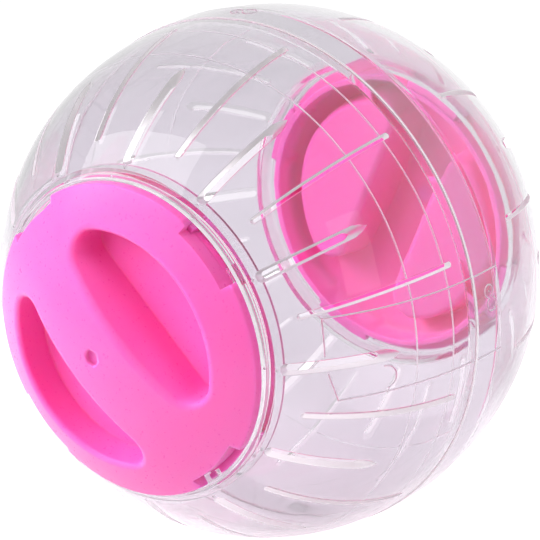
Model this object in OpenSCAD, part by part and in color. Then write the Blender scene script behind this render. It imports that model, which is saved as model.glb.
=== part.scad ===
// Hamster ball: two clear half shells joined by a lap joint, each with a
// round opening at its pole that a twist-lock cap closes.
// Millimetres, +Z up. The origin is the centre of the ball, and the cap
// axis is the Y axis: the near cap faces -Y and the far cap faces +Y.
// Each half is drawn in a frame of its own, with its pole on +Z, and then
// turned into place. Polar angles are counted from that pole.

/* [Ball] */
// Diameter of the two domes
ball_d = 120; // [96:1:144]
// Length of the straight stretch between the two domes
straight_len = 4; // [2:0.5:6]
// Wall thickness of the clear shells
shell_wall = 1.5; // [1.2:0.1:2]
// Diameter of the round opening at each pole
opening_d = 72.5; // [58:0.5:86]

/* [Lap joint] */
// Length of the socket that goes over the tongue
lap_len = 8.9; // [7:0.1:11]
// Length of the socket on the near side of the middle
lap_near_len = 3.9; // [3:0.1:5]
// Thickness of the socket wall
socket_wall = 1.2; // [1:0.1:1.5]
// Thickness of the tongue wall
tongue_wall = 1.1; // [0.9:0.1:1.4]
// How far the socket stands out of the domes
band_rise = 0.3; // [0.2:0.05:0.5]
// Number of snap pins round the joint
snap_count = 4; // [3:1:6]
// Diameter of a snap pin
snap_d = 2; // [1.6:0.1:2.4]
// Angle of the first snap pin round the cap axis
snap_angle = 10; // [0:1:60]

/* [Vent slots] */
// Number of slots of each kind round a half
slot_count = 12; // [8:1:14]
// Width of the short slots
short_slot_w = 2.2; // [1.6:0.1:2.8]
// Width of the long slots
long_slot_w = 1.2; // [1:0.1:1.6]
// Polar angle where the short slots start
short_slot_start = 42; // [41:0.5:46]
// Polar angle where the short slots end
short_slot_end = 65.5; // [58:0.5:70]
// Polar angle where the long slots start
long_slot_start = 46.5; // [43:0.5:52]
// Polar angle where the long slots end in the near half
long_slot_end = 82.5; // [74:0.5:83]
// Polar angle where the long slots end in the far half
far_slot_end = 78.5; // [70:0.5:79]
// Angle of the first short slot of the near half round the cap axis
near_slot_angle = 3.5; // [0:0.5:30]
// Angle of the first short slot of the far half round the cap axis
far_slot_angle = 23.5; // [0:0.5:30]

/* [Inner ribs] */
// Polar angles of the two thin ribs inside the near half
near_rib_angles = [71.5, 81.5]; // [66:0.5:84]
// Polar angle of the thin rib inside the far half
far_rib_angle = 65; // [55:0.5:75]
// Diameter of the round section of a rib
rib_d = 0.9; // [0.6:0.1:1.2]

/* [Collar and tabs] */
// Wall thickness of the collar that lines an opening
collar_wall = 1.4; // [1.2:0.1:1.8]
// Depth of the collar below the edge of the opening
collar_depth = 6.5; // [5:0.1:8]
// Width of the narrow ledge that carries the cap's rim
ledge_w = 0.85; // [0.7:0.05:1]
// Thickness of the ledge and of the tabs
ledge_t = 1.4; // [1.1:0.1:1.7]
// Width of a bayonet tab, from the collar inward
tab_w = 2.3; // [2:0.1:2.4]
// Angle that a bayonet tab spans
tab_span = 8; // [6:0.5:10]

/* [Cap] */
// How far the cap's face stands out of the ball
cap_proud = 0.8; // [0.4:0.1:1.2]
// Thickness of the cap's walls
cap_wall = 1.8; // [1.4:0.1:2.2]
// Thickness of the skirt behind the rim
skirt_wall = 1.5; // [1.2:0.1:1.8]
// Width of the rim outside the skirt
rim_w = 2.35; // [2:0.05:2.8]
// Depth of the skirt below the rim's underside
skirt_depth = 4; // [3.5:0.1:4.8]
// Diameter of the round gate recess in the middle of the face
gate_d = 3.6; // [2.5:0.1:5]
// Depth of the gate recess
gate_depth = 0.5; // [0.3:0.1:0.8]

/* [Lugs and windows] */
// Number of lugs, of windows and of tabs
lug_count = 4; // [3:1:4]
// Angle that a lug spans
lug_span = 25; // [20:1:30]
// How much wider than its lug a window is, as an angle
window_over = 1; // [0.6:0.1:1.6]
// Width of the rim left between the skirt and a window
window_land = 0.25; // [0.2:0.05:0.4]
// Thickness of a lug
lug_t = 1.7; // [1.3:0.1:2]
// How far a lug stands out of the skirt
lug_w = 1.75; // [1.4:0.05:2]
// Angle that the stop at the end of a lug spans
stop_span = 3.6; // [2.8:0.2:4.4]
// Angle from a window's middle back to its tab's middle when locked
tab_lag = 11; // [9:0.5:12]
// Angle of the near cap's bridge round the cap axis
near_cap_angle = -41.5; // [-90:0.5:90]
// Angle of the far cap's bridge round the cap axis
far_cap_angle = -68; // [-90:0.5:90]

/* [Finger pockets] */
// Width of the bridge between the two pockets
bridge_w = 17.6; // [14:0.2:21]
// Radius of the pockets' curved side
pocket_r = 26.6; // [22:0.2:30]
// Radius of the pockets' corners
pocket_corner_r = 4.4; // [3.5:0.1:5.2]
// Depth of the pockets' flat floor, below the face's highest point
pocket_depth = 14; // [11:0.5:17]

/* [Fits] */
// Gap between the cap's rim and the opening
rim_gap = 0.5; // [0.3:0.05:0.6]
// Clearance between the tongue and the socket
lap_clearance = 0.1; // [0.05:0.05:0.15]
// Gap between the cap's rim and the ledge below it
seat_gap = 0.2; // [0.15:0.05:0.3]
// Gap between a lug and the tab above it
lug_gap = 0.2; // [0.15:0.05:0.3]

/* [Hidden] */
$fn = 96;
ball_r = ball_d / 2;
dome_z = straight_len / 2;
opening_r = opening_d / 2;

// A cutter goes this far past what it cuts
overrun = 1;
// A cutter that has to reach right out of the ball
far_out = ball_d;
far_reach_share = 1.12;
full_turn = 360;
half_turn = full_turn / 2;

// Lap joint
lap_far_len = lap_len - lap_near_len;
socket_r = ball_r + band_rise;
socket_in_r = socket_r - socket_wall;
tongue_r = socket_in_r - lap_clearance;
tongue_in_r = tongue_r - tongue_wall;
tongue_end = lap_far_len - 2 * band_rise - lap_clearance;
far_wall_end = tongue_end + lap_clearance;
near_wall_end = lap_near_len + lap_clearance;
snap_hole_d = snap_d + 2 * lap_clearance;
snap_out_r = socket_r - band_rise;

// Opening, collar, ledge and tabs, as heights along the pole
opening_z = dome_z + sqrt(pow(ball_r, 2) - pow(opening_r, 2));
collar_z = opening_z - collar_depth;
collar_r = opening_r + collar_wall;
cap_top_r = ball_r + cap_proud;
cap_r = opening_r - rim_gap;
cap_top_z = dome_z + cap_top_r;
cap_edge_z = dome_z + sqrt(pow(cap_top_r, 2) - pow(cap_r, 2));
rim_t_share = 1.4;
rim_z = cap_edge_z - cap_wall * rim_t_share;
ledge_z = rim_z - seat_gap;
ledge_in_r = opening_r - ledge_w;
tab_in_r = opening_r - tab_w;
lug_z = ledge_z - ledge_t - lug_gap;

// Cap
cap_in_r = cap_top_r - cap_wall;
skirt_r = cap_r - rim_w;
skirt_in_r = skirt_r - skirt_wall;
skirt_z = rim_z - skirt_depth;
lug_r = skirt_r + lug_w;
lug_base_z = lug_z - lug_t;
stop_top_z = rim_z + cap_wall / 2;
stop_base_z = lug_z - lug_t / 2;
stop_r = lug_r - window_land;

// Pockets
bridge_half = bridge_w / 2;
pocket_floor_z = cap_top_z - pocket_depth;

// Turns a half from its own frame into place
module near_side() rotate([90, 0, 0]) children();
module far_side() rotate([90, 0, 180]) children();

// Copies turned evenly round the pole, the first at angle a
module around(n, a) {
    for (i = [0:n - 1])
        rotate([0, 0, a + i * full_turn / n]) children();
}

// Point at polar angle t and distance r from the dome's centre, as [x, z]
function polar(r, t) = [r * sin(t), dome_z + r * cos(t)];

// Half outline of a dome and its straight stretch, down to z = 0
module half_outline(r) {
    intersection() {
        translate([0, dome_z]) circle(r, $fn = 4 * $fn);
        translate([0, dome_z]) square(r + overrun);
    }
    square([r, dome_z]);
}

// Half-ring outline between two radii and two heights
module band(in_r, out_r, low, high) {
    translate([in_r, low]) square([out_r - in_r, high - low]);
}

// Part of a ring between two radii and two heights, centred on +X
module ring_part(in_r, out_r, low, high, span) {
    rotate([0, 0, -span / 2])
        rotate_extrude(angle = span)
            band(in_r, out_r, low, high);
}

// Cutter for one vent slot in the plane of +X, with round ends
module slot_cutter(w, start, end) {
    in_r = ball_r - shell_wall - overrun;
    out_r = ball_r * far_reach_share;
    end_angle = asin(w / 2 / ball_r);
    first = start + end_angle;
    last = end - end_angle;
    middle = (first + last) / 2;
    rotate([90, 0, 0])
        translate([0, 0, -w / 2])
            linear_extrude(w)
                polygon([
                    polar(in_r, first),
                    polar(out_r, first),
                    polar(out_r, middle),
                    polar(out_r, last),
                    polar(in_r, last)
                ]);
    for (t = [first, last])
        translate([0, 0, dome_z])
            rotate([0, t, 0])
                translate([0, 0, in_r])
                    cylinder(d = w, h = out_r - in_r);
}

// Both kinds of slot round a half
module slot_cutters(angle, long_end) {
    around(slot_count, angle)
        slot_cutter(short_slot_w, short_slot_start, short_slot_end);
    around(slot_count, angle + half_turn / slot_count)
        slot_cutter(long_slot_w, long_slot_start, long_end);
}

// Wall of a half from its opening down to wall_end
module shell_wall_body(wall_end) {
    rotate_extrude()
        intersection() {
            difference() {
                half_outline(ball_r);
                half_outline(ball_r - shell_wall);
            }
            band(opening_r, far_out, wall_end, far_out);
        }
}

// Collar and ledge that line an opening, and the bayonet tabs
module collar(cap_angle) {
    rotate_extrude() {
        intersection() {
            half_outline(ball_r - shell_wall / 2);
            band(opening_r, collar_r, collar_z, far_out);
        }
        band(ledge_in_r, opening_r + collar_wall / 2, ledge_z - ledge_t, ledge_z);
    }
    around(lug_count, cap_angle - tab_lag)
        ring_part(tab_in_r, opening_r + collar_wall / 2, ledge_z - ledge_t, ledge_z, tab_span);
}

// Thin round rib on the inside of a dome at polar angle t
module inner_rib(t) {
    rotate_extrude()
        intersection() {
            translate(polar(ball_r - shell_wall, t)) circle(d = rib_d);
            half_outline(ball_r - shell_wall / 2);
        }
}

module half_body(wall_end, cap_angle, slot_angle, slot_end, rib_angles) {
    difference() {
        union() {
            shell_wall_body(wall_end);
            for (t = rib_angles) inner_rib(t);
        }
        slot_cutters(slot_angle, slot_end);
    }
    collar(cap_angle);
}

module near_shell() {
    color([0.88, 0.87, 0.9, 0.35]) near_side() {
        half_body(near_wall_end, near_cap_angle, near_slot_angle, long_slot_end,
            near_rib_angles);
        rotate_extrude() {
            intersection() {
                band(tongue_in_r, tongue_r, -tongue_end, near_wall_end + shell_wall);
                union() {
                    half_outline(ball_r - shell_wall / 2);
                    band(0, far_out, -far_out, dome_z);
                }
            }
        }
        around(snap_count, snap_angle)
            rotate([0, 90, 0])
                translate([0, 0, tongue_r - tongue_wall / 2])
                    cylinder(d = snap_d, h = snap_out_r - tongue_r + tongue_wall / 2);
    }
}

module far_shell() {
    color([0.88, 0.87, 0.9, 0.35]) far_side() {
        half_body(far_wall_end, far_cap_angle, far_slot_angle, far_slot_end,
            [far_rib_angle]);
        difference() {
            rotate_extrude()
                band(socket_in_r, socket_r, -lap_near_len, lap_far_len);
            around(snap_count, half_turn - snap_angle)
                rotate([0, 90, 0])
                    translate([0, 0, socket_in_r - overrun])
                        cylinder(d = snap_hole_d, h = socket_wall + 2 * overrun);
        }
    }
}

// D-shaped outline on the +Y side: a straight side at the bridge, a curved
// side round the pole and two round corners, all moved outward by grow
module pocket_outline(grow) {
    straight = bridge_half - grow;
    arc_r = pocket_r + grow;
    corner = pocket_corner_r + grow;
    corner_y = straight + corner;
    corner_x = sqrt(pow(arc_r - corner, 2) - pow(corner_y, 2));
    reach = arc_r / (arc_r - corner) + far_reach_share;
    intersection() {
        circle(arc_r);
        polygon([
            [-corner_x, straight],
            [corner_x, straight],
            [corner_x, corner_y],
            [corner_x, corner_y] * reach,
            [-corner_x, corner_y] * reach,
            [-corner_x, corner_y]
        ]);
    }
    for (x = [-corner_x, corner_x])
        translate([x, corner_y]) circle(corner);
}

// Space of one pocket on the +Y side, or its outside when grow is the wall
module pocket_space(grow) {
    translate([0, 0, pocket_floor_z - grow])
        linear_extrude(cap_top_z) pocket_outline(grow);
}

// Both pockets, either side of the bridge
module pocket_spaces(grow) {
    for (a = [0, half_turn])
        rotate([0, 0, a]) pocket_space(grow);
}

// Round parts of the cap: the domed face, the rim and the skirt
module cap_round() {
    rotate_extrude() {
        intersection() {
            difference() {
                half_outline(cap_top_r);
                half_outline(cap_in_r);
            }
            band(0, cap_r, rim_z, far_out);
        }
        intersection() {
            half_outline(cap_top_r - cap_wall / 2);
            union() {
                band(skirt_in_r, cap_r, rim_z, far_out);
                band(skirt_in_r, skirt_r, skirt_z, far_out);
            }
        }
    }
}

// A cap in its own frame: the bridge lies along X and the face looks along +Z
module cap() {
    difference() {
        union() {
            cap_round();
            intersection() {
                pocket_spaces(cap_wall);
                translate([0, 0, dome_z]) sphere(cap_top_r - cap_wall / 2);
            }
        }
        pocket_spaces(0);
        translate([0, 0, cap_top_z - gate_depth])
            cylinder(d = gate_d, h = gate_depth + overrun);
        around(lug_count, 0)
            ring_part(skirt_r + window_land, cap_r + overrun, rim_z - overrun, cap_top_z,
                lug_span + window_over);
    }
    around(lug_count, 0)
        ring_part(skirt_r - skirt_wall / 2, lug_r, lug_base_z, lug_z, lug_span);
    around(lug_count, lug_span / 2)
        ring_part(skirt_r - skirt_wall / 2, stop_r, stop_base_z, stop_top_z, stop_span);
}

module near_cap() {
    color([1, 0.42, 0.74]) near_side() rotate([0, 0, near_cap_angle]) cap();
}

module far_cap() {
    color([1, 0.42, 0.74]) far_side() rotate([0, 0, far_cap_angle]) cap();
}

near_shell();
far_shell();
near_cap();
far_cap();
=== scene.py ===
import math

import bmesh
import bpy
import numpy as np
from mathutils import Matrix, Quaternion, Vector


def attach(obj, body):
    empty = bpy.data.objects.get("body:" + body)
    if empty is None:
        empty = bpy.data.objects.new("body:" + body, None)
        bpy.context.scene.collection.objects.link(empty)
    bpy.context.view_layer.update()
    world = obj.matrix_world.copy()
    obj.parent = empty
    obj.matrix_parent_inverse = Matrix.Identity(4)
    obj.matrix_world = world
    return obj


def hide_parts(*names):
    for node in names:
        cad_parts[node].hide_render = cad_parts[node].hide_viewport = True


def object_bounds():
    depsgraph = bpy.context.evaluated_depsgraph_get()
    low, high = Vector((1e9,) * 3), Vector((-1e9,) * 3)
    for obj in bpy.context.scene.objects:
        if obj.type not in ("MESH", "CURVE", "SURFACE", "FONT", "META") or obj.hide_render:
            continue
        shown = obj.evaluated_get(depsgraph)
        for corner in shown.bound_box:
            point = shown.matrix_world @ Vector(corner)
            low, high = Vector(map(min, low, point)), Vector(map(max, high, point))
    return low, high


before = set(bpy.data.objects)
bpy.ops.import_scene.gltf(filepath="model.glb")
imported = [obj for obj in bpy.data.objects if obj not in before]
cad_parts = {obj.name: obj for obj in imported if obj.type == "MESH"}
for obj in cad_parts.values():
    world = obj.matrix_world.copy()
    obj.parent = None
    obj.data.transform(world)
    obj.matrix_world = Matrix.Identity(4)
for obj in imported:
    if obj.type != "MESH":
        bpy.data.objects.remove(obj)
cadBox = [list(corner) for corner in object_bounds()]
print("frame loaded:", ", ".join(sorted(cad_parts)))

mm = 0.001  # shapes are worked out in millimetres and made in metres

# The photograph's view: a long lens, turned from the near cap's axis
cameraView = {
    "azimuth": 37.77,
    "elevation": 22.49,
    "distance": 0.8586,
    "lens": 252.1,
    "sensor": 36,
    "clip": (0.01, 20),
}


def direction(azimuth, elevation):
    # azimuth 0 is in front of the near cap, and grows towards +X
    a, e = math.radians(azimuth), math.radians(elevation)
    return Vector((math.sin(a) * math.cos(e), -math.cos(a) * math.cos(e), math.sin(e)))


def putInScene(name, data):
    made = bpy.data.objects.new(name, data)
    bpy.context.scene.collection.objects.link(made)
    return made


def makeCamera(view):
    back = direction(view["azimuth"], view["elevation"])
    data = bpy.data.cameras.new("photoCamera")
    data.lens, data.sensor_width = view["lens"], view["sensor"]
    data.clip_start, data.clip_end = view["clip"]
    camera = putInScene("photoCamera", data)
    camera.location = back * view["distance"]
    camera.rotation_euler = (-back).to_track_quat("-Z", "Y").to_euler()
    bpy.context.scene.camera = camera


makeCamera(cameraView)
print("camera made")


def linearColour(code):
    parts = [int(code[i:i + 2], 16) / 255 for i in (1, 3, 5)]
    parts = [c / 12.92 if c <= 0.04045 else ((c + 0.055) / 1.055) ** 2.4 for c in parts]
    return (*parts, 1.0)


def addNode(tree, kind, settings=None, values=None, links=None):
    # settings are the node's own, values go into its sockets, links feed them
    node = tree.nodes.new(kind)
    for name, value in (settings or {}).items():
        setattr(node, name, value)
    for socket, value in (values or {}).items():
        node.inputs[socket].default_value = value
    for socket, source in (links or {}).items():
        tree.links.new(source, node.inputs[socket])
    return node


# Clear polystyrene, injection moulded and polished: glass-like, a little cloudy,
# with the faint flow waves that a large thin moulding keeps. Light that has turned in
# the wall this many times leaves it, so that no part of the wall renders black
clearPlastic = {
    "tint": "#E6E3E8",
    "passing": "#FDFCFD",
    "ior": 1.57,
    "transmission": 0.996,
    "waveSize": 16 * mm,
    "waveDepth": 0.02 * mm,
    "rippleSize": 5 * mm,
    "rippleDepth": 0.014 * mm,
    "grainSize": 0.9 * mm,
    "polish": (0.012, 0.04),
    "turns": 3.5,
}

# The same moulding's cut-outs, steps and ends, where the tool isn't polished: satin,
# so they blur what is behind them into whitish lines. Behind another wall they hardly
# show, so light that has turned more than this passes them
satinEdge = {
    **clearPlastic,
    "tint": "#E6DEE3",
    "transmission": 0.97,
    "waveDepth": 0.0,
    "rippleDepth": 0.0,
    "grainSize": 0.5 * mm,
    "polish": (0.42, 0.52),
    "turns": 1.5,
}

# Pink polypropylene, moulded in a fine-polished tool: soft gloss, and a little
# light goes in and comes back as a warmer pink
pinkPlastic = {
    "light": "#FA70C0",
    "deep": "#F85EB6",
    "ior": 1.5,
    "glow": 0.9,
    "glowDepth": 2.6 * mm,
    "glowSpread": (1.0, 0.7, 0.85),
    "patchSize": 30 * mm,
    "grainSize": 0.7 * mm,
    "grainDepth": 0.004 * mm,
    "gloss": (0.24, 0.34),
    "shine": 0.55,
}


def startMaterial(name):
    # An empty material, its node tree, and the places on a piece that drive its patterns
    material = bpy.data.materials.new(name)
    material.use_nodes = True
    tree = material.node_tree
    tree.nodes.clear()
    return material, tree, addNode(tree, "ShaderNodeTexCoord").outputs["Object"]


def makeClearPlastic(name, look):
    material, tree, place = startMaterial(name)
    waves, grain, ripples = (
        addNode(tree, "ShaderNodeTexNoise", values={"Scale": 1 / look[size], "Detail": detail},
                links={"Vector": place}).outputs["Fac"]
        for size, detail in (("waveSize", 1.0), ("grainSize", 2.0), ("rippleSize", 0.0)))
    swell = addNode(tree, "ShaderNodeBump",
                    values={"Strength": 1.0, "Distance": look["waveDepth"]},
                    links={"Height": waves})
    bump = addNode(tree, "ShaderNodeBump",
                   values={"Strength": 1.0, "Distance": look["rippleDepth"]},
                   links={"Height": ripples, "Normal": swell.outputs["Normal"]})
    polish = addNode(tree, "ShaderNodeMapRange",
                     values={"To Min": look["polish"][0], "To Max": look["polish"][1]},
                     links={"Value": grain})
    body = addNode(tree, "ShaderNodeBsdfPrincipled",
                   values={"Base Color": linearColour(look["tint"]), "IOR": look["ior"],
                           "Transmission Weight": look["transmission"]},
                   links={"Roughness": polish.outputs["Result"], "Normal": bump.outputs["Normal"]})
    # Lamps and bounced light pass straight through, as they do through thin walls
    path = addNode(tree, "ShaderNodeLightPath").outputs
    soft = addNode(tree, "ShaderNodeMath", settings={"operation": "MAXIMUM"},
                   links={0: path["Is Shadow Ray"], 1: path["Is Diffuse Ray"]})
    late = addNode(tree, "ShaderNodeMath", settings={"operation": "GREATER_THAN"},
                   values={1: look["turns"]}, links={0: path["Ray Depth"]})
    straight = addNode(tree, "ShaderNodeMath", settings={"operation": "MAXIMUM"},
                       links={0: soft.outputs[0], 1: late.outputs[0]})
    through = addNode(tree, "ShaderNodeBsdfTransparent",
                      values={"Color": linearColour(look["passing"])})
    mix = addNode(tree, "ShaderNodeMixShader",
                  links={0: straight.outputs[0], 1: body.outputs[0], 2: through.outputs[0]})
    addNode(tree, "ShaderNodeOutputMaterial", links={"Surface": mix.outputs[0]})
    return material


def makePinkPlastic(look):
    material, tree, place = startMaterial("pinkPolypropylene")
    patches, grain = (
        addNode(tree, "ShaderNodeTexNoise", values={"Scale": 1 / look[size], "Detail": detail},
                links={"Vector": place}).outputs["Fac"]
        for size, detail in (("patchSize", 2.0), ("grainSize", 3.0)))
    colour = addNode(tree, "ShaderNodeMix", settings={"data_type": "RGBA"},
                     values={6: linearColour(look["light"]), 7: linearColour(look["deep"])},
                     links={0: patches})
    bump = addNode(tree, "ShaderNodeBump",
                   values={"Strength": 1.0, "Distance": look["grainDepth"]},
                   links={"Height": grain})
    gloss = addNode(tree, "ShaderNodeMapRange",
                    values={"To Min": look["gloss"][0], "To Max": look["gloss"][1]},
                    links={"Value": grain})
    body = addNode(tree, "ShaderNodeBsdfPrincipled",
                   values={"IOR": look["ior"], "Specular IOR Level": look["shine"],
                           "Subsurface Weight": look["glow"],
                           "Subsurface Radius": look["glowSpread"],
                           "Subsurface Scale": look["glowDepth"]},
                   links={"Base Color": colour.outputs[2],
                          "Roughness": gloss.outputs["Result"],
                          "Normal": bump.outputs["Normal"]})
    addNode(tree, "ShaderNodeOutputMaterial", links={"Surface": body.outputs[0]})
    return material


clearMaterial = makeClearPlastic("clearPolystyrene", clearPlastic)
edgeMaterial = makeClearPlastic("satinPolystyrene", satinEdge)
pinkMaterial = makePinkPlastic(pinkPlastic)
print("materials made")


def makeRepeatTree():
    # Copies its mesh evenly round the cap axis, welds the joins and sets the material
    tree = bpy.data.node_groups.new("repeatRoundAxis", "GeometryNodeTree")
    tree.is_modifier = True
    for name, kind in (("Geometry", "NodeSocketGeometry"), ("Count", "NodeSocketInt"),
                       ("Weld", "NodeSocketFloat"), ("Material", "NodeSocketMaterial")):
        tree.interface.new_socket(name=name, in_out="INPUT", socket_type=kind)
    tree.interface.new_socket(name="Geometry", in_out="OUTPUT", socket_type="NodeSocketGeometry")
    given = addNode(tree, "NodeGroupInput")
    points = addNode(tree, "GeometryNodePoints", links={"Count": given.outputs["Count"]})
    step = addNode(tree, "ShaderNodeMath", settings={"operation": "DIVIDE"},
                   values={0: math.tau}, links={1: given.outputs["Count"]})
    turn = addNode(tree, "ShaderNodeMath", settings={"operation": "MULTIPLY"},
                   links={0: addNode(tree, "GeometryNodeInputIndex").outputs[0],
                          1: step.outputs[0]})
    angles = addNode(tree, "ShaderNodeCombineXYZ", links={"Y": turn.outputs[0]})
    copies = addNode(tree, "GeometryNodeInstanceOnPoints",
                     links={"Points": points.outputs[0], "Instance": given.outputs["Geometry"],
                            "Rotation": angles.outputs[0]})
    real = addNode(tree, "GeometryNodeRealizeInstances", links={0: copies.outputs[0]})
    weld = addNode(tree, "GeometryNodeMergeByDistance",
                   links={"Geometry": real.outputs[0], "Distance": given.outputs["Weld"]})
    dressed = addNode(tree, "GeometryNodeSetMaterial",
                      links={"Geometry": weld.outputs[0], "Material": given.outputs["Material"]})
    addNode(tree, "NodeGroupOutput", links={0: dressed.outputs[0]})
    return tree


repeatTree = makeRepeatTree()
cornerShare = 0.45  # a rounded corner takes at most this much of a side
weldReach = 0.002  # millimetres: points that are closer become one
flatReach = 0.001  # faces that are thinner go
onDomeReach = 0.003  # points this close to a dome take its normals


def newObject(name, verts, faces):
    mesh = bpy.data.meshes.new(name)
    mesh.from_pydata([tuple(v) for v in np.asarray(verts) * mm], [], faces)
    return putInScene(name, mesh)


def bake(made):
    # The modifiers' result becomes the plain mesh
    graph = bpy.context.evaluated_depsgraph_get()
    mesh = bpy.data.meshes.new_from_object(made.evaluated_get(graph))
    made.modifiers.clear()
    old, made.data = made.data, mesh
    bpy.data.meshes.remove(old)
    mesh.name = made.name
    return made


def repeatRound(made, count, material):
    modifier = made.modifiers.new("repeat", "NODES")
    modifier.node_group = repeatTree
    given = {"Count": count, "Weld": weldReach * mm, "Material": material}
    for item in repeatTree.interface.items_tree:
        if item.item_type == "SOCKET" and item.in_out == "INPUT" and item.name in given:
            modifier[item.identifier] = given[item.name]
    return bake(made)


def closeUp(made):
    # Welds, drops faces that have no area and points every face outwards
    work = bmesh.new()
    work.from_mesh(made.data)
    bmesh.ops.remove_doubles(work, verts=work.verts, dist=weldReach * mm)
    bmesh.ops.dissolve_degenerate(work, edges=work.edges, dist=flatReach * mm)
    bmesh.ops.recalc_face_normals(work, faces=work.faces)
    openEdges = sum(len(edge.link_faces) != 2 for edge in work.edges)
    work.to_mesh(made.data)
    work.free()
    print(f"  {made.name}: {len(made.data.polygons)} faces, {openEdges} open edges")
    return made


def shadeSmooth(made, sign=0, radii=()):
    # Normals follow the larger faces, and on a dome the dome itself. sign is the half's
    # side, and radii are the domes' (radius, outward) in millimetres
    mesh = made.data
    count = len(mesh.vertices)
    co = np.empty(count * 3)
    mesh.vertices.foreach_get("co", co)
    co = co.reshape(-1, 3) / mm
    normals = np.zeros((count, 3))
    for face in mesh.polygons:
        normals[list(face.vertices)] += np.array(face.normal) * face.area
    for radius, outward in radii:
        out = co - [0, sign * ball["domeRise"], 0]
        far = np.linalg.norm(out, axis=1)
        on = np.abs(far - radius) < onDomeReach
        normals[on] = out[on] / far[on, None] * outward
    normals[~normals.any(axis=1)] = (0, 0, 1)
    normals /= np.linalg.norm(normals, axis=1)[:, None]
    mesh.polygons.foreach_set("use_smooth", [True] * len(mesh.polygons))
    mesh.normals_split_custom_set_from_vertices(normals.tolist())
    return made


def unit(v):
    return np.asarray(v, float) / np.linalg.norm(v)


def arc(count):
    return np.radians(np.linspace(0, 90, count))


def roundCorners(points, radius, steps=2):
    # The outline through the points with every corner but the ends made round
    points = [np.asarray(p, float) for p in points]
    out = [points[0]]
    for before, corner, after in zip(points, points[1:], points[2:]):
        cut = min(radius, cornerShare * np.linalg.norm(before - corner),
                  cornerShare * np.linalg.norm(after - corner))
        first, last = corner + unit(before - corner) * cut, corner + unit(after - corner) * cut
        for s in np.linspace(0, 1, steps + 2):
            out.append((1 - s) ** 2 * first + 2 * s * (1 - s) * corner + s * s * last)
    return out + [points[-1]]


# Sizes that both halves share, in their own frame with the pole on +Z. A row has its
# polar angle: firstRow is moved to the opening and edgeRow to the joint, and the rows
# from openRow to lastRow stay
ball = {
    "radius": 60.0,
    "innerRadius": 58.5,
    "wall": 1.5,
    "domeRise": 2.0,
    "opening": 36.25,
    "collarOut": 37.65,
    "collarEnd": 43.31,
    "ledgeIn": 35.4,
    "ledgeTop": 48.46,
    "ledgeUnder": 47.06,
    "slots": 12,
    "slotLip": 0.16,
    "ribRadius": 0.2,
    "cornerRadius": 0.16,
    "firstRow": 38,
    "lastRow": 86,
    "edgeRow": 87,
    "outerOpening": {"from": 37.5, "openRow": 40.5},
    "innerOpening": {"from": 40.25, "openRow": 42},
}

# Marks are the rows that carry a slot's straight sides. Each surface has the slot's
# half width, where its sides start and end, and how far its two ends go on. Rows are
# left where they are from keep on
longSlot = {
    "marks": (47.0, 82.3),
    "keep": 85.0,
    "outer": {"half": 0.62, "start": 46.6, "end": 82.4, "tipStart": 0.6, "tipEnd": 0.5},
    "inner": {"half": 0.34, "start": 47.2, "end": 82.0, "tipStart": 0.4, "tipEnd": 0.3},
}
shortSlot = {
    "marks": (43.0, 63.0),
    "keep": 70.4,
    "outer": {"half": 1.3, "start": 42.1, "end": 63.4, "tipStart": 1.1, "tipEnd": 3.5},
    "inner": {"half": 0.72, "start": 43.2, "end": 61.0, "tipStart": 0.7, "tipEnd": 1.5},
}
upperRows = (38, 39.3, 40.6, 41.8, *range(43, 62, 2))
nearHalf = {
    "name": "near",
    "firstSlot": 3.5,
    "ribs": [71.5, 81.5],
    "short": shortSlot,
    "long": longSlot,
    "rows": [*upperRows, 63, 64.5, 66, 67.5, 69, 70.4, 73, 75, 77, 79, 80.4, 82.3, 83.2, 84, 85,
             86, 87],
    "outerEnd": 87.95,
    "innerEnd": 86.45,
    "lap": [(59.97, 4.0), (59.0, 4.0), (59.0, -4.3), (57.9, -4.3), (57.9, 5.5), (58.39, 5.5)],
}
farHalf = {
    "name": "far",
    "firstSlot": 23.5,
    "ribs": [65.0],
    "short": {
        **shortSlot,
        "marks": (43.0, 61.0),
        "keep": 64.3,
        "outer": {"half": 1.3, "start": 42.1, "end": 61.2, "tipStart": 1.1, "tipEnd": 1.4},
        "inner": {"half": 0.72, "start": 43.2, "end": 60.2, "tipStart": 0.7, "tipEnd": 1.0},
    },
    "long": {
        **longSlot,
        "marks": (47.0, 77.9),
        "keep": 81.0,
        "outer": {**longSlot["outer"], "end": 78.0},
        "inner": {**longSlot["inner"], "end": 77.6},
    },
    "rows": [*upperRows, 62.2, 63.3, 64.3, 66.5, 68, 70, 72, 74, 76, 77.9, 79, 81, 83, 85, 86, 87],
    "outerEnd": 86.95,
    "innerEnd": 87.45,
    "lap": [(59.92, 5.0), (60.3, 5.0), (60.3, -3.9), (59.1, -3.9), (59.1, 4.4), (58.45, 4.4)],
}

across = np.array([-1, -0.62, 0, 0.62, 1])  # a slot's columns, in half widths
spareColumns = 4  # columns between two slots
slotMargin = 0.5  # the columns beside a slot stand this far from it
ribSteps = (-1, -0.7, 0, 0.7, 1)  # the rows over a rib, in its radius
tipShape = {
    "startReach": 3,  # a tip's bend fades over this many of its lengths
    "endReach": 2.4,
    "endPower": 1.6,  # how square the far tip is
}


def rowAngles(half):
    # Polar angles of the dome's rows, with more rows over each rib, and the height of
    # the rib at each row
    reach = math.degrees(ball["ribRadius"] / ball["innerRadius"])
    rows = [(t, 0.0) for t in half["rows"]]
    for rib in half["ribs"]:
        rows += [(rib + k * reach, ball["ribRadius"] * math.sqrt(1 - k * k)) for k in ribSteps]
    return np.array(sorted(rows))


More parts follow.
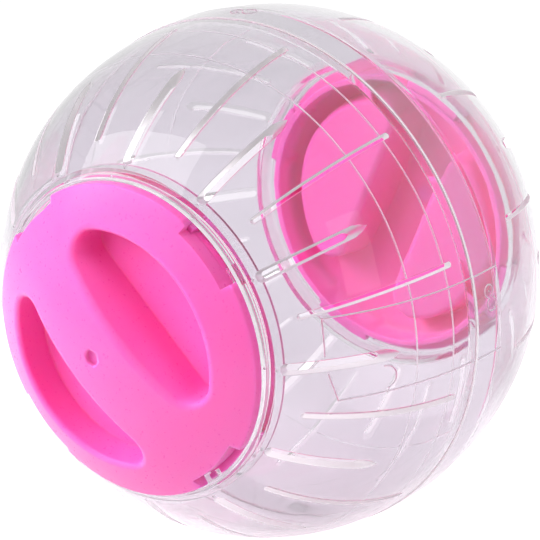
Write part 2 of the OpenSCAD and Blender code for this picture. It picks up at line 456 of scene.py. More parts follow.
def slotRow(slot, surface, base, isDome):
    # Places across and polar angles of one row's columns at a slot and on its two sides
    side, lip, first = slot[surface], ball["slotLip"], ball["firstRow"]
    lipAngle = math.degrees(lip / ball["radius"])
    start, end = side["start"] - lipAngle, side["end"] + lipAngle
    t = base
    if base <= slot["keep"]:
        t = np.interp(base, [first, *slot["marks"], slot["keep"]],
                      [first, start, end, slot["keep"]])
    half = side["half"] + lip
    places = np.concatenate([[-half - slotMargin], across * half, [half + slotMargin]])
    angles = np.full(len(places), float(t))
    if isDome and base <= slot["marks"][0]:
        fade = max(0, 1 - (start - t) / (tipShape["startReach"] * side["tipStart"]))
        angles[1:-1] -= side["tipStart"] * np.sqrt(1 - across ** 2) * fade
    if isDome and base >= slot["marks"][1]:
        reach = min(tipShape["endReach"] * side["tipEnd"], slot["keep"] - end)
        fade = max(0, 1 - (t - end) / reach)
        angles[1:-1] += side["tipEnd"] * (1 - np.abs(across) ** tipShape["endPower"]) * fade
    return places, angles


def sectorRow(half, spots):
    # One row's columns over a sector. spots are the two slots' (places, angles, distance)
    centres = (half["firstSlot"], half["firstSlot"] + 180 / ball["slots"])
    groups = []
    for centre, (places, angles, distance) in zip(centres, spots):
        turn = centre + np.degrees(np.arcsin(places / distance))
        groups.append(np.stack([turn, angles], axis=1))
    again = groups[0][:1] + [[360 / ball["slots"], 0]]
    row = []
    for here, after in ((groups[0], groups[1]), (groups[1], again)):
        row.extend(here)
        for k in range(1, spareColumns + 1):
            s = k / (spareColumns + 1)
            row.append(here[-1] * (1 - s) + after[0] * s)
    return np.array([*row, again[0]])


def onHalf(turn, distance, height):
    turn = np.radians(turn)
    return np.stack([distance * np.cos(turn), distance * np.sin(turn),
                     np.broadcast_to(height, np.shape(turn))], axis=-1)


def domeRow(half, surface, base, rise):
    radius = ball["radius"] if surface == "outer" else ball["innerRadius"] - rise
    spots = []
    for slot in (half["short"], half["long"]):
        places, angles = slotRow(slot, surface, base, True)
        spots.append((places, angles, radius * np.sin(np.radians(angles))))
    row = sectorRow(half, spots)
    opening, last = ball[surface + "Opening"], ball["lastRow"]
    t = np.interp(row[:, 1], [ball["firstRow"], opening["openRow"], last, ball["edgeRow"]],
                  [opening["from"], opening["openRow"], last, half[surface + "End"]])
    t = np.radians(t)
    return onHalf(row[:, 0], radius * np.sin(t), ball["domeRise"] + radius * np.cos(t))


def plainRow(half, distance, height, mix):
    # A row of the collar or the joint, where the slots' columns only pass through
    spots = []
    for slot in (half["short"], half["long"]):
        outer, angles = slotRow(slot, "outer", ball["firstRow"], False)
        inner, _ = slotRow(slot, "inner", ball["firstRow"], False)
        spots.append((outer * (1 - mix) + inner * mix, angles, distance))
    return onHalf(sectorRow(half, spots)[:, 0], distance, height)


def slotWall(rows, outerRows, innerRows, marks, first):
    # The ring of points round a slot from the outer surface to the inner one
    start, end = marks
    columns = list(range(first, first + len(across)))
    loop = [(start, c) for c in columns]
    loop += [(i, columns[-1]) for i in range(start + 1, end)]
    loop += [(end, c) for c in reversed(columns)]
    loop += [(i, columns[0]) for i in range(end - 1, start, -1)]
    outer = np.array([rows[outerRows[i]][c] for i, c in loop])
    inner = np.array([rows[innerRows[i]][c] for i, c in loop])
    lip, rings = ball["slotLip"], []
    middle = np.array([0, 0, ball["domeRise"]])

    def away(points):
        along = np.roll(points, -1, axis=0) - np.roll(points, 1, axis=0)
        side = np.cross(along, points - middle)
        side /= np.linalg.norm(side, axis=1)[:, None]
        return side * np.sign(np.sum(side * (points - points.mean(axis=0))))

    # The lip's two rings, in shares of its size: how deep, and how far into the slot
    bend, foot = (0.3, 0.7), (1.0, 1.0)
    for top, bottom, order in ((outer, inner, (bend, foot)), (inner, outer, (foot, bend))):
        for deep, far in order:
            depth = (bottom - top) / ball["wall"] * lip * deep
            rings.append(top + depth - away(top) * (lip * far))
    return loop, rings


def shellSector(half):
    rowTable = rowAngles(half)
    base = rowTable[:, 0]
    count = len(base)
    outer = [domeRow(half, "outer", t, 0) for t, _ in rowTable]
    inner = [domeRow(half, "inner", t, rise) for t, rise in rowTable]

    def profile(*points):
        return roundCorners(points, ball["cornerRadius"])[1:-1]

    def flat(row):
        return (math.hypot(row[0][0], row[0][1]), row[0][2])

    lap = profile(flat(outer[-1]), *half["lap"], flat(inner[-1]))
    b = ball
    underTop = b["domeRise"] + math.sqrt(b["innerRadius"] ** 2 - b["collarOut"] ** 2)
    edge = b["domeRise"] + math.sqrt(b["radius"] ** 2 - b["opening"] ** 2)
    collar = profile(flat(inner[0]), (b["collarOut"], underTop), (b["collarOut"], b["collarEnd"]),
                     (b["opening"], b["collarEnd"]), (b["opening"], b["ledgeUnder"]),
                     (b["ledgeIn"], b["ledgeUnder"]), (b["ledgeIn"], b["ledgeTop"]),
                     (b["opening"], b["ledgeTop"]), (b["opening"], edge), flat(outer[0]))
    rows = list(outer)
    rows += [plainRow(half, r, z, (k + 1) / (len(lap) + 1)) for k, (r, z) in enumerate(lap)]
    innerRows = [len(rows) + count - 1 - i for i in range(count)]
    rows += inner[::-1]
    rows += [plainRow(half, r, z, 1 - (k + 1) / (len(collar) + 1))
             for k, (r, z) in enumerate(collar)]
    outerRows = list(range(count))

    slots, between = [], len(across) + 2 + spareColumns
    for slot, first in ((half["short"], 1), (half["long"], 1 + between)):
        marks = [int(np.argmin(np.abs(base - mark))) for mark in slot["marks"]]
        slots.append((marks, first))
    width, total, faces = len(rows[0]), len(rows), []

    def isOpen(p, q, c):
        return any(first <= c < first + len(across) - 1 and {p, q} <= set(surface[a:b + 1])
                   for (a, b), first in slots for surface in (outerRows, innerRows))

    for p in range(total):
        q = (p + 1) % total
        for c in range(width - 1):
            if not isOpen(p, q, c):
                faces.append((p * width + c, p * width + c + 1, q * width + c + 1, q * width + c))
    verts = [v for row in rows for v in row]
    for marks, first in slots:
        loop, rings = slotWall(rows, outerRows, innerRows, marks, first)
        ids = [[outerRows[i] * width + c for i, c in loop]]
        for ring in rings:
            ids.append(list(range(len(verts), len(verts) + len(ring))))
            verts.extend(ring)
        ids.append([innerRows[i] * width + c for i, c in loop])
        for here, after in zip(ids, ids[1:]):
            for k in range(len(loop)):
                n = (k + 1) % len(loop)
                faces.append((here[k], here[n], after[n], after[k]))
    return np.array(verts), faces


def nearSide(points):
    x, y, z = np.asarray(points, float).T
    return np.stack([x, -z, y], axis=1)


def farSide(points):
    x, y, z = np.asarray(points, float).T
    return np.stack([-x, z, y], axis=1)


# A face of a half shell is satin where it lies this deep inside the wall and this far
# from the joint, or where it stands across the wall, but the collar is polished
satinFaces = {
    "skin": 0.08,
    "fromJoint": 6.5,
    "across": 0.55,
    "collarMargin": 0.3,
}


def satinEdges(made, sign):
    mesh, skin = made.data, satinFaces["skin"]
    mesh.materials.clear()
    mesh.materials.append(clearMaterial)
    mesh.materials.append(edgeMaterial)
    collar = ball["collarOut"] + satinFaces["collarMargin"]
    for face in mesh.polygons:
        x, y, z = face.center / mm
        out = Vector((x, y - sign * ball["domeRise"], z))
        isInside = ball["innerRadius"] + skin < out.length < ball["radius"] - skin
        isCut = isInside and abs(y) > satinFaces["fromJoint"]
        isAcross = abs(out.normalized().dot(face.normal)) < satinFaces["across"]
        isCollar = math.hypot(x, z) < collar
        face.material_index = 1 if (isCut or isAcross) and not isCollar else 0


def wear(made, body, node=None):
    # A piece moves with the body and may replace a node
    if node:
        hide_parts(node)
    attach(made, body)


for half, place, sign in ((nearHalf, nearSide, -1), (farHalf, farSide, 1)):
    verts, faces = shellSector(half)
    shell = newObject(half["name"] + "HalfShell", place(verts), faces)
    repeatRound(shell, ball["slots"], clearMaterial)
    closeUp(shell)
    satinEdges(shell, sign)
    shadeSmooth(shell, sign, ((ball["radius"], 1), (ball["innerRadius"], -1)))
    wear(shell, "ball", half["name"] + "_shell")
print("half shells made")


# Marks that the tool leaves on the near half: the outline of an insert, a round pin's
# hooked edge and small pips, and the outline of each snap pin on the band. On the half
# a place is (degrees round the cap axis, degrees from the pole), and on the band it is
# (degrees, y). line and height are the raised lines' own sizes, and steps their points
toolMarks = {
    "line": 0.2,
    "height": 0.2,
    "insertMiddle": 4.7,
    "insertHalf": 9.5,
    "insertEnd": ((16.1, 50.9), (11.0, 50.6), (6.1, 50.4)),
    "insertEndBelow": ((1.3, 50.9), (-2.5, 52.0), (-6.8, 53.4)),
    "insertFoot": 87.8,
    "insertBand": (-3.7, 4.7),
    "pin": (-1.8, 63.4, 2.7),
    "pinBend": (100, -75),
    "snapRings": ((9.4, 0.8, 1.45), (6.5, 1.5, 1.6)),
    "snapRingStarts": (-65, 115),
    "snapRingSpan": 310,
    "snaps": 4,
    "snapDot": 0.22,
    "steps": {"insert": 30, "band": 6, "pin": 14, "ring": 22},
    "pip": 0.34,
    "pipFlat": 0.7,
    "slotPip": 40.3,
    "edgePips": ((4.5, 37.9), (62.0, 38.2), (97.5, 37.9), (118.0, 37.9)),
}


def onNearDome(spots):
    # Row places and outward directions of (turn, polar angle) spots on the near half
    spots = np.asarray(spots, float)
    t = np.radians(spots[:, 1])
    radius = ball["radius"]
    places = nearSide(onHalf(spots[:, 0], radius * np.sin(t), ball["domeRise"] + radius * np.cos(t)))
    out = places + [0, ball["domeRise"], 0]
    return places, out / radius


def onBand(spots):
    # The same for (turn, y) spots on the raised band
    spots = np.asarray(spots, float)
    turn, radius = np.radians(spots[:, 0]), farHalf["lap"][1][0]
    out = np.stack([np.cos(turn), np.zeros(len(turn)), np.sin(turn)], axis=1)
    return out * radius + np.outer(spots[:, 1], [0, 1, 0]), out


def raisedLine(places, out):
    # Points and faces of a low rounded line along a path, with its feet in the wall
    half, height = toolMarks["line"], toolMarks["height"]
    along = np.gradient(places, axis=0)
    side = np.cross(along, out)
    side /= np.linalg.norm(side, axis=1)[:, None]
    section = ((-1, -0.5), (-0.6, 0.6), (0, 1), (0.6, 0.6), (1, -0.5))
    count, n = len(places), len(section)
    verts = [place + side[i] * half * a + out[i] * height * b
             for i, place in enumerate(places) for a, b in section]
    faces = [(i * n + k, i * n + (k + 1) % n, (i + 1) * n + (k + 1) % n, (i + 1) * n + k)
             for i in range(count - 1) for k in range(n)]
    faces += [tuple(range(n)), tuple(range((count - 1) * n + n - 1, (count - 1) * n - 1, -1))]
    return verts, faces


def makeLines(name, lines, count):
    # One piece of all the lines, repeated round the axis
    verts, faces = [], []
    for places, out in lines:
        more, corners = raisedLine(places, out)
        faces += [tuple(len(verts) + k for k in face) for face in corners]
        verts += more
    made = closeUp(newObject(name, verts, faces))
    repeatRound(made, count, edgeMaterial)
    wear(shadeSmooth(made), "ball")


def insertLines():
    # The insert's two sides over the half and the band, its two ends and the pin's edge
    m, radius, steps = toolMarks, ball["radius"], toolMarks["steps"]
    lines = []
    for sign, start in ((1, m["insertEnd"][0][1]), (-1, m["insertEndBelow"][-1][1])):
        t = np.linspace(start, m["insertFoot"], steps["insert"])
        lean = np.degrees(np.arcsin(m["insertHalf"] / (radius * np.sin(np.radians(t)))))
        lines.append(onNearDome(np.column_stack([m["insertMiddle"] + sign * lean, t])))
        end = m["insertMiddle"] + sign * math.degrees(math.asin(m["insertHalf"] / radius))
        lines.append(onBand([(end, y) for y in np.linspace(*m["insertBand"], steps["band"])]))
    lines.append(onNearDome(m["insertEnd"]))
    lines.append(onNearDome(m["insertEndBelow"]))
    turn, t, size = m["pin"]
    bend = np.radians(np.linspace(*m["pinBend"], steps["pin"]))
    lines.append(onNearDome(np.column_stack([
        turn + np.degrees(size * np.sin(bend) / (radius * math.sin(math.radians(t)))),
        t + np.degrees(size * np.cos(bend) / radius)])))
    return lines


def snapLines():
    # Two open rings, which make an outline like an 8
    m, radius = toolMarks, ball["radius"]
    lines = []
    for (turn, y, size), start in zip(m["snapRings"], m["snapRingStarts"]):
        bend = np.radians(np.linspace(start, start + m["snapRingSpan"], m["steps"]["ring"]))
        lines.append(onBand(np.column_stack([turn + np.degrees(size * np.sin(bend) / radius),
                                             y + size * np.cos(bend)])))
    return lines


def makePips(name, spot, size, count):
    # Small round buttons that stand on the surface at a spot and its repeats
    (place,), (out,) = spot
    work = bmesh.new()
    bmesh.ops.create_icosphere(work, subdivisions=2, radius=size * mm)
    bmesh.ops.scale(work, vec=(1, 1, toolMarks["pipFlat"]), verts=work.verts)
    turn = Vector(out).to_track_quat("Z", "Y").to_matrix().to_4x4()
    bmesh.ops.transform(work, matrix=turn, verts=work.verts)
    bmesh.ops.translate(work, vec=Vector(place) * mm, verts=work.verts)
    made = newObject(name, [], [])
    work.to_mesh(made.data)
    work.free()
    repeatRound(made, count, edgeMaterial)
    wear(shadeSmooth(made), "ball")


makeLines("nearToolMarks", insertLines(), 1)
makeLines("snapMarks", snapLines(), toolMarks["snaps"])
makePips("nearSlotPips", onNearDome([(nearHalf["firstSlot"], toolMarks["slotPip"])]),
         toolMarks["pip"], ball["slots"])
for index, spot in enumerate(toolMarks["edgePips"]):
    makePips(f"nearEdgePip{index + 1}", onNearDome([spot]), toolMarks["pip"], 1)
makePips("snapDots", onBand([toolMarks["snapRings"][0][:2]]), toolMarks["snapDot"],
         toolMarks["snaps"])
print("tool marks made")


# The blocks of the lock: softEdge is their bevel, sharp the least angle of an edge that
# gets one, and bendStep the degrees between two columns
block = {
    "softEdge": 0.18,
    "sharp": 50,
    "bendStep": 2.5,
}


def ringBlock(name, radii, heights, span, middle, place, material, count):
    # A block bent round the pole, with soft edges, repeated round the axis
    (inR, outR), (low, high) = radii, heights
    steps = max(2, int(span / block["bendStep"]))
    turns = np.linspace(middle - span / 2, middle + span / 2, steps + 1)
    section = ((inR, low), (outR, low), (outR, high), (inR, high))
    verts = [v for r, z in section for v in onHalf(turns, r, z)]
    n, faces = steps + 1, []
    for a, b in ((0, n), (n, 2 * n), (2 * n, 3 * n), (3 * n, 0)):
        faces += [(a + i, a + i + 1, b + i + 1, b + i) for i in range(steps)]
    faces += [(0, n, 2 * n, 3 * n), (steps, 3 * n + steps, 2 * n + steps, n + steps)]
    made = closeUp(newObject(name, place(verts), faces))
    bevel = made.modifiers.new("softEdges", "BEVEL")
    bevel.width, bevel.segments, bevel.limit_method = block["softEdge"] * mm, 2, "ANGLE"
    bevel.angle_limit = math.radians(block["sharp"])
    bake(made)
    repeatRound(made, count, material)
    return shadeSmooth(made)


# Both caps are one moulding. Sizes are radii and heights in a half's frame, spans are
# degrees, and turns are where each cap's bridge lies in the photograph
cap = {
    "turns": {"near": -41.5, "far": -68.0},
    "top": 60.8,
    "under": 59.0,
    "rise": 2.0,
    "rim": 35.75,
    "rimCorner": 0.4,
    "rimUnder": 48.66,
    "windowWall": 33.65,
    "skirtOut": 33.4,
    "skirtIn": 31.9,
    "skirtEnd": 44.66,
    "skirtCorner": 0.3,
    "windowHalf": 13.0,
    "lugRoot": 0.6,
    "lugSpan": 25.0,
    "lugOut": 35.15,
    "lugLow": 45.16,
    "lugHigh": 46.86,
    "stopSpan": 3.6,
    "stopOut": 34.9,
    "stopLow": 46.01,
    "stopHigh": 49.56,
    "count": 4,
    "gateRadius": 1.8,
    "gateDepth": 1.3,
}
tab = {
    "radii": (33.95, 35.45),
    "span": 8,
    "middle": -11,
}
pocket = {
    "bridgeHalf": 8.8,
    "radius": 26.6,
    "corner": 4.4,
    "floor": 48.8,
    "middle": 17.0,
    "lip": 1.7,
    "foot": 0.4,
    "draft": 0.7,
    "wall": 1.8,
    "underLip": 0.6,
    "underFoot": 1.8,
}
# The points of a pocket's outline on its arc, a corner and the bridge, and where its
# rings lie: from the lip out to the cap's edge, down the wall, and from the foot in to
# the middle of the floor. lip and foot are numbers of rings
pocketSteps = {
    "arc": 160,
    "corner": 60,
    "bridge": 80,
    "face": (1.0, 0.8, 0.6, 0.4, 0.25, 0.12),
    "lip": 7,
    "wall": (0.15, 0.35, 0.6, 0.85),
    "foot": 6,
    "floor": (0.8, 0.55, 0.3),
}


def pocketOutline(grow):
    # Distance of the D-shaped outline from the pocket's middle, by direction
    p, n = pocket, pocketSteps
    arcR, corner = p["radius"] + grow, p["corner"] + grow
    cornerY = p["bridgeHalf"] + p["corner"]
    cornerX = math.sqrt((p["radius"] - p["corner"]) ** 2 - cornerY ** 2)
    lean = math.degrees(math.atan2(cornerY, cornerX))
    arcs = ((0, 0, arcR, lean, 180 - lean, n["arc"]),
            (-cornerX, cornerY, corner, 180 - lean, 270, n["corner"]),
            (cornerX, cornerY, corner, -90, lean, n["corner"]))
    points = [(x + r * math.cos(t), y + r * math.sin(t)) for x, y, r, first, last, count in arcs
              for t in np.radians(np.linspace(first, last, count))]
    straight = np.linspace(-cornerX, cornerX, n["bridge"])[1:-1]
    points += [(x, cornerY - corner) for x in straight]
    points = np.array(points) - [0, p["middle"]]
    turn = np.arctan2(points[:, 1], points[:, 0])
    order = np.argsort(turn)
    return turn[order], np.linalg.norm(points, axis=1)[order]


def outlineAt(grow, directions):
    turn, reach = pocketOutline(grow)
    size = np.interp(directions, turn, reach, period=math.tau)
    return np.stack([size * np.cos(directions), size * np.sin(directions) + pocket["middle"]], 1)


def domeHeight(points, radius):
    return cap["rise"] + np.sqrt(radius ** 2 - np.sum(points ** 2, axis=1))


def pocketRings(edge, radius, grow, drop, lip, foot):
    # Rings from the half disc's edge over the face, round the lip, down the wall,
    # round the foot and over the floor
    centre = np.array([0, pocket["middle"]])
    directions = np.arctan2(edge[:, 1] - centre[1], edge[:, 0])
    floor = pocket["floor"] - drop
    rings = []

    def addRing(flat, height):
        rings.append(np.column_stack([flat, np.broadcast_to(height, len(flat))]))

    start = outlineAt(grow + lip, directions)
    for s in pocketSteps["face"]:
        flat = start * (1 - s) + edge * s
        addRing(flat, domeHeight(flat, radius))
    for a in arc(pocketSteps["lip"]):
        flat = outlineAt(grow + lip * (1 - math.sin(a)), directions)
        addRing(flat, domeHeight(flat, radius) - lip * (1 - math.cos(a)))
    wallIn, wallTop = rings[-1][:, :2], rings[-1][:, 2]
    footOut = outlineAt(grow - pocket["draft"], directions)
    for s in pocketSteps["wall"]:
        addRing(wallIn * (1 - s) + footOut * s, wallTop * (1 - s) + (floor + foot) * s)
    for a in arc(pocketSteps["foot"]):
        flat = outlineAt(grow - pocket["draft"] - foot * (1 - math.cos(a)), directions)
        addRing(flat, floor + foot * (1 - math.sin(a)))
    last = rings[-1][:, :2]
    for s in pocketSteps["floor"]:
        addRing(centre + (last - centre) * s, floor)
    return rings, np.array([0, centre[1], floor])


# Columns of half a cap: in half a window, in a whole one, in the rim between two, and
# along the line where the two halves meet
capColumns = {
    "halfWindow": 5,
    "window": 11,
    "rim": 25,
    "middle": 31,
}


def capHalf():
    c, w, n = cap, cap["windowHalf"], capColumns
    marks = (0, w, 90 - w, 90 + w, 180 - w, 180)
    counts = (n["halfWindow"], n["rim"], n["window"], n["rim"], n["halfWindow"])
    spans = [np.linspace(a, b, count) for a, b, count in zip(marks, marks[1:], counts)]
    turns = np.concatenate([spans[0]] + [span[1:] for span in spans[1:]])
    middleLine = np.linspace(-1, 1, n["middle"])[1:-1]
    verts, faces = [], []

    def edgeOf(radius):
        a = np.radians(turns)
        bent = np.stack([radius * np.cos(a), radius * np.sin(a)], 1)
        straight = np.stack([middleLine * radius, np.zeros(len(middleLine))], 1)
        return np.concatenate([bent, straight])

    def addRing(points):
        verts.extend(points)
        return list(range(len(verts) - len(points), len(verts)))

    def join(a, b, closed=True):
        for k in range(len(a) - (not closed)):
            j = (k + 1) % len(a)
            faces.append((a[k], a[j], b[j], b[k]))

    edges = []
    sides = ((c["windowWall"], c["top"], 0.0, 0.0, pocket["lip"], pocket["foot"]),
             (c["skirtIn"], c["under"], pocket["wall"], pocket["wall"],
              pocket["underLip"], pocket["underFoot"]))
    for radius, dome, grow, drop, lip, foot in sides:
        rings, centre = pocketRings(edgeOf(radius), dome, grow, drop, lip, foot)
        ids = [addRing(ring) for ring in rings]
        for a, b in zip(ids, ids[1:]):
            join(a, b)
        middle, last = addRing([centre])[0], ids[-1]
        faces += [(last[k], last[(k + 1) % len(last)], middle) for k in range(len(last))]
        edges.append(ids[0][:len(turns)])

    # The rim, with its windows, and the skirt: one profile per column. Windows and rim
    # take turns, and the column where one ends stands twice
    def topAt(r):
        return c["rise"] + math.sqrt(c["top"] ** 2 - r * r)

    rimOutline = roundCorners([(c["windowWall"], topAt(c["windowWall"])),
                               (c["rim"], topAt(c["rim"])), (c["rim"], c["rimUnder"]),
                               (c["windowWall"], c["rimUnder"])], c["rimCorner"], 3)
    down = np.linspace(topAt(c["windowWall"]), c["rimUnder"], len(rimOutline))
    windowOutline = [(c["windowWall"], z) for z in down]
    skirtTop = c["rise"] + math.sqrt(c["under"] ** 2 - c["skirtIn"] ** 2)
    skirt = roundCorners([rimOutline[-1], (c["skirtOut"], c["rimUnder"]),
                          (c["skirtOut"], c["skirtEnd"]), (c["skirtIn"], c["skirtEnd"]),
                          (c["skirtIn"], skirtTop)], c["skirtCorner"])[1:]
    columns, k = [], 0
    for index, span in enumerate(spans):
        outline = (rimOutline if index % 2 else windowOutline) + skirt
        for k, turn in enumerate(span, k):
            ids = addRing([onHalf(turn, r, z) for r, z in outline[1:-1]])
            columns.append([edges[0][k], *ids, edges[1][k]])
    for a, b in zip(columns, columns[1:]):
        join(a, b, closed=False)
    return np.array(verts, float), faces


def turned(points, angle):
    a = math.radians(angle)
    x, y, z = np.asarray(points, float).T
    return np.stack([x * math.cos(a) - y * math.sin(a), x * math.sin(a) + y * math.cos(a), z], 1)


def gateCutter(put):
    # A short round rod that stands in the middle of the face
    top, turns = cap["rise"] + cap["top"], np.linspace(0, 360, 49)[:-1]
    verts = [v for z in (top - cap["gateDepth"], top + 1)
             for v in onHalf(turns, cap["gateRadius"], z)]
    n = len(turns)
    faces = [(k, (k + 1) % n, n + (k + 1) % n, n + k) for k in range(n)]
    faces += [tuple(range(n - 1, -1, -1)), tuple(range(n, 2 * n))]
    cutter = newObject("gateCutter", put(verts), faces)
    cutter.data.materials.append(pinkMaterial)
    return cutter


def makeCap(name, side, sign, verts, faces):
    # A cap with its lugs and stops, and the tabs of the collar that hold them. The cap's
    # body and its node have the same name
    c, angle, body = cap, cap["turns"][name], name + "_cap"

    def put(points):
        return side(turned(points, angle))

    made = repeatRound(newObject(name + "Cap", put(verts), faces), 2, pinkMaterial)
    closeUp(made)
    cutter = closeUp(gateCutter(put))
    cut = made.modifiers.new("gate", "BOOLEAN")
    cut.operation, cut.object, cut.solver = "DIFFERENCE", cutter, "EXACT"
    bake(made)
    bpy.data.objects.remove(cutter)
    shadeSmooth(made, sign, ((c["top"], 1), (c["under"], -1)))
    wear(made, body, body)
    root = c["skirtOut"] - c["lugRoot"]
    lugs = ringBlock(name + "CapLugs", (root, c["lugOut"]), (c["lugLow"], c["lugHigh"]),
                     c["lugSpan"], 0, put, pinkMaterial, c["count"])
    stops = ringBlock(name + "CapStops", (root, c["stopOut"]), (c["stopLow"], c["stopHigh"]),
                      c["stopSpan"], c["lugSpan"] / 2, put, pinkMaterial, c["count"])
    for extra in (lugs, stops):
        wear(extra, body)
    tabs = ringBlock(name + "CollarTabs", tab["radii"], (ball["ledgeUnder"], ball["ledgeTop"]),
                     tab["span"], tab["middle"], put, clearMaterial, c["count"])
    wear(tabs, "ball")


capVerts, capFaces = capHalf()
makeCap("near", nearSide, -1, capVerts, capFaces)
makeCap("far", farSide, 1, capVerts, capFaces)
print("caps made")

# Lamps: a long soft box up on the left, whose reflection lies over the shell and the
# near cap, and a dim one on the right. The key and the three fills light the pink
# and no surface mirrors them. place is azimuth, elevation and distance in metres, size
# is in metres, and roll in degrees where there is one
lamps = {
    "softBox": {"place": (-52, 42, 0.95), "size": (0.92, 0.43), "roll": 45, "radiance": 1.9,
                "mirrored": True},
    "rightFill": {"place": (80, 25, 1.1), "size": (0.3, 0.6), "radiance": 0.8, "mirrored": True},
    "key": {"place": (-55, 32, 1.0), "size": (0.45, 0.45), "radiance": 12.0},
    "frontFill": {"place": (-20, 30, 1.1), "size": (0.5, 0.5), "radiance": 6.6},
    "sideFill": {"place": (80, 42, 1.1), "size": (0.4, 0.4), "radiance": 8.0},
    "backFill": {"place": (172, 28, 1.1), "size": (0.5, 0.5), "radiance": 4.0},
}
# The studio round the ball. Its ambient light is brightest where lit points. What the
# plastic mirrors or lets through is white where backdrop points and dim elsewhere,
# and less dim after mixedTurns turns. The floor is white in the camera's own view,
# and dimmer in the plastic
studio = {
    "ambientTop": "#FFFFFF",
    "ambientLow": "#7C767A",
    "ambient": 0.48,
    "lit": (-0.65, -0.6, 0.45),
    "backdrop": (0.38, 0.86, -0.34),
    "backdropEdge": (-0.3, 0.6),
    "dim": 0.25,
    "dimMixed": 0.61,
    "mixedTurns": 1.5,
    "floorColour": "#DEDBDF",
    "floorGlow": 0.6,
    "floorMirrored": 0.26,
    "floorReach": 0.45,
    "floorFade": (0.45, 0.95),
}


def makeLamps():
    for name, lamp in lamps.items():
        data = bpy.data.lights.new(name, "AREA")
        data.shape = "RECTANGLE"
        data.size, data.size_y = lamp["size"]
        data.energy = lamp["radiance"] * math.pi * data.size * data.size_y
        made = putInScene(name, data)
        azimuth, elevation, distance = lamp["place"]
        out = direction(azimuth, elevation)
        made.location = out * distance
        roll = Quaternion((0, 0, 1), math.radians(lamp.get("roll", 0)))
        made.rotation_euler = ((-out).to_track_quat("-Z", "Y") @ roll).to_euler()
        made.visible_camera = False
        made.visible_transmission = False
        made.visible_glossy = lamp.get("mirrored", False)


def makeWorld():
    world = bpy.data.worlds.new("studio")
    bpy.context.scene.world = world
    world.use_nodes = True
    tree = world.node_tree
    tree.nodes.clear()
    path = addNode(tree, "ShaderNodeLightPath").outputs
    look = addNode(tree, "ShaderNodeTexCoord").outputs["Generated"]
    lit, backdrop = (
        addNode(tree, "ShaderNodeVectorMath", settings={"operation": "DOT_PRODUCT"},
                values={1: Vector(studio[aim]).normalized()}, links={0: look}).outputs["Value"]
        for aim in ("lit", "backdrop"))
    light = addNode(tree, "ShaderNodeMapRange", values={"From Min": -1.0},
                    links={"Value": lit})
    ambientColour = addNode(tree, "ShaderNodeMix", settings={"data_type": "RGBA"},
                            values={6: linearColour(studio["ambientLow"]),
                                    7: linearColour(studio["ambientTop"])},
                            links={0: light.outputs["Result"]})
    ambient = addNode(tree, "ShaderNodeBackground", values={"Strength": studio["ambient"]},
                      links={"Color": ambientColour.outputs[2]})
    # Light that has been inside the plastic has mixed on its way, so it varies less
    mixed = addNode(tree, "ShaderNodeMath", settings={"operation": "GREATER_THAN"},
                    values={1: studio["mixedTurns"]}, links={0: path["Ray Depth"]})
    dim = addNode(tree, "ShaderNodeMath", settings={"operation": "MULTIPLY_ADD"},
                  values={1: studio["dimMixed"] - studio["dim"], 2: studio["dim"]},
                  links={0: mixed.outputs[0]})
    low, high = studio["backdropEdge"]
    behind = addNode(tree, "ShaderNodeMapRange", settings={"interpolation_type": "SMOOTHSTEP"},
                     values={"From Min": low, "From Max": high},
                     links={"Value": backdrop, "To Min": dim.outputs[0]})
    mirrored = addNode(tree, "ShaderNodeBackground",
                       values={"Color": (1, 1, 1, 1)}, links={"Strength": behind.outputs["Result"]})
    white = addNode(tree, "ShaderNodeBackground", values={"Color": (1, 1, 1, 1)})
    sharp = addNode(tree, "ShaderNodeMath", settings={"operation": "MAXIMUM"},
                    links={0: path["Is Glossy Ray"], 1: path["Is Transmission Ray"]})
    first = addNode(tree, "ShaderNodeMixShader",
                    links={0: sharp.outputs[0], 1: ambient.outputs[0], 2: mirrored.outputs[0]})
    second = addNode(tree, "ShaderNodeMixShader",
                     links={0: path["Is Camera Ray"], 1: first.outputs[0], 2: white.outputs[0]})
    addNode(tree, "ShaderNodeOutputWorld", links={"Surface": second.outputs[0]})


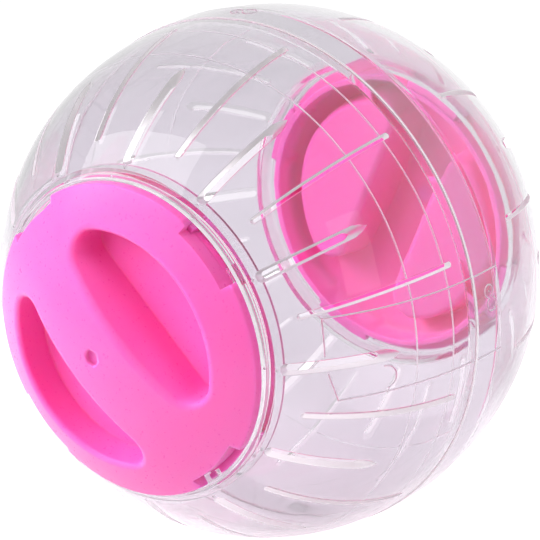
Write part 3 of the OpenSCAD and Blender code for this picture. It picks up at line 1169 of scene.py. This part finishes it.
def makeFloor():
    # A pale round floor under the ball that fades into the white background
    reach, low = studio["floorReach"] / mm, cadBox[0][2] / mm
    turns = np.linspace(0, 360, 65)[:-1]
    verts = [(0, 0, low)] + [tuple(v) for v in onHalf(turns, reach, low)]
    n = len(turns)
    faces = [(0, 1 + k, 1 + (k + 1) % n) for k in range(n)]
    floor = newObject("floor", verts, faces)
    material, tree, place = startMaterial("paleFloor")
    away = addNode(tree, "ShaderNodeVectorMath", settings={"operation": "LENGTH"},
                   links={0: place})
    start, end = studio["floorFade"]
    fade = addNode(tree, "ShaderNodeMapRange",
                   values={"From Min": studio["floorReach"] * start,
                           "From Max": studio["floorReach"] * end},
                   links={"Value": away.outputs["Value"]})
    colour = linearColour(studio["floorColour"])
    matt = addNode(tree, "ShaderNodeBsdfDiffuse", values={"Color": colour})
    path = addNode(tree, "ShaderNodeLightPath").outputs
    sharp = addNode(tree, "ShaderNodeMath", settings={"operation": "MAXIMUM"},
                    links={0: path["Is Glossy Ray"], 1: path["Is Transmission Ray"]})
    mirrored = addNode(tree, "ShaderNodeMath", settings={"operation": "MULTIPLY"},
                       values={1: studio["floorMirrored"]}, links={0: sharp.outputs[0]})
    strength = addNode(tree, "ShaderNodeMath", settings={"operation": "MULTIPLY_ADD"},
                       values={1: studio["floorGlow"]},
                       links={0: path["Is Camera Ray"], 2: mirrored.outputs[0]})
    glow = addNode(tree, "ShaderNodeEmission", values={"Color": (1, 1, 1, 1)},
                   links={"Strength": strength.outputs[0]})
    both = addNode(tree, "ShaderNodeAddShader", links={0: matt.outputs[0], 1: glow.outputs[0]})
    clear = addNode(tree, "ShaderNodeBsdfTransparent")
    mix = addNode(tree, "ShaderNodeMixShader",
                  links={0: fade.outputs["Result"], 1: both.outputs[0], 2: clear.outputs[0]})
    addNode(tree, "ShaderNodeOutputMaterial", links={"Surface": mix.outputs[0]})
    floor.data.materials.append(material)


makeLamps()
makeWorld()
makeFloor()
bpy.context.scene.view_settings.view_transform = "Standard"
print("studio made")
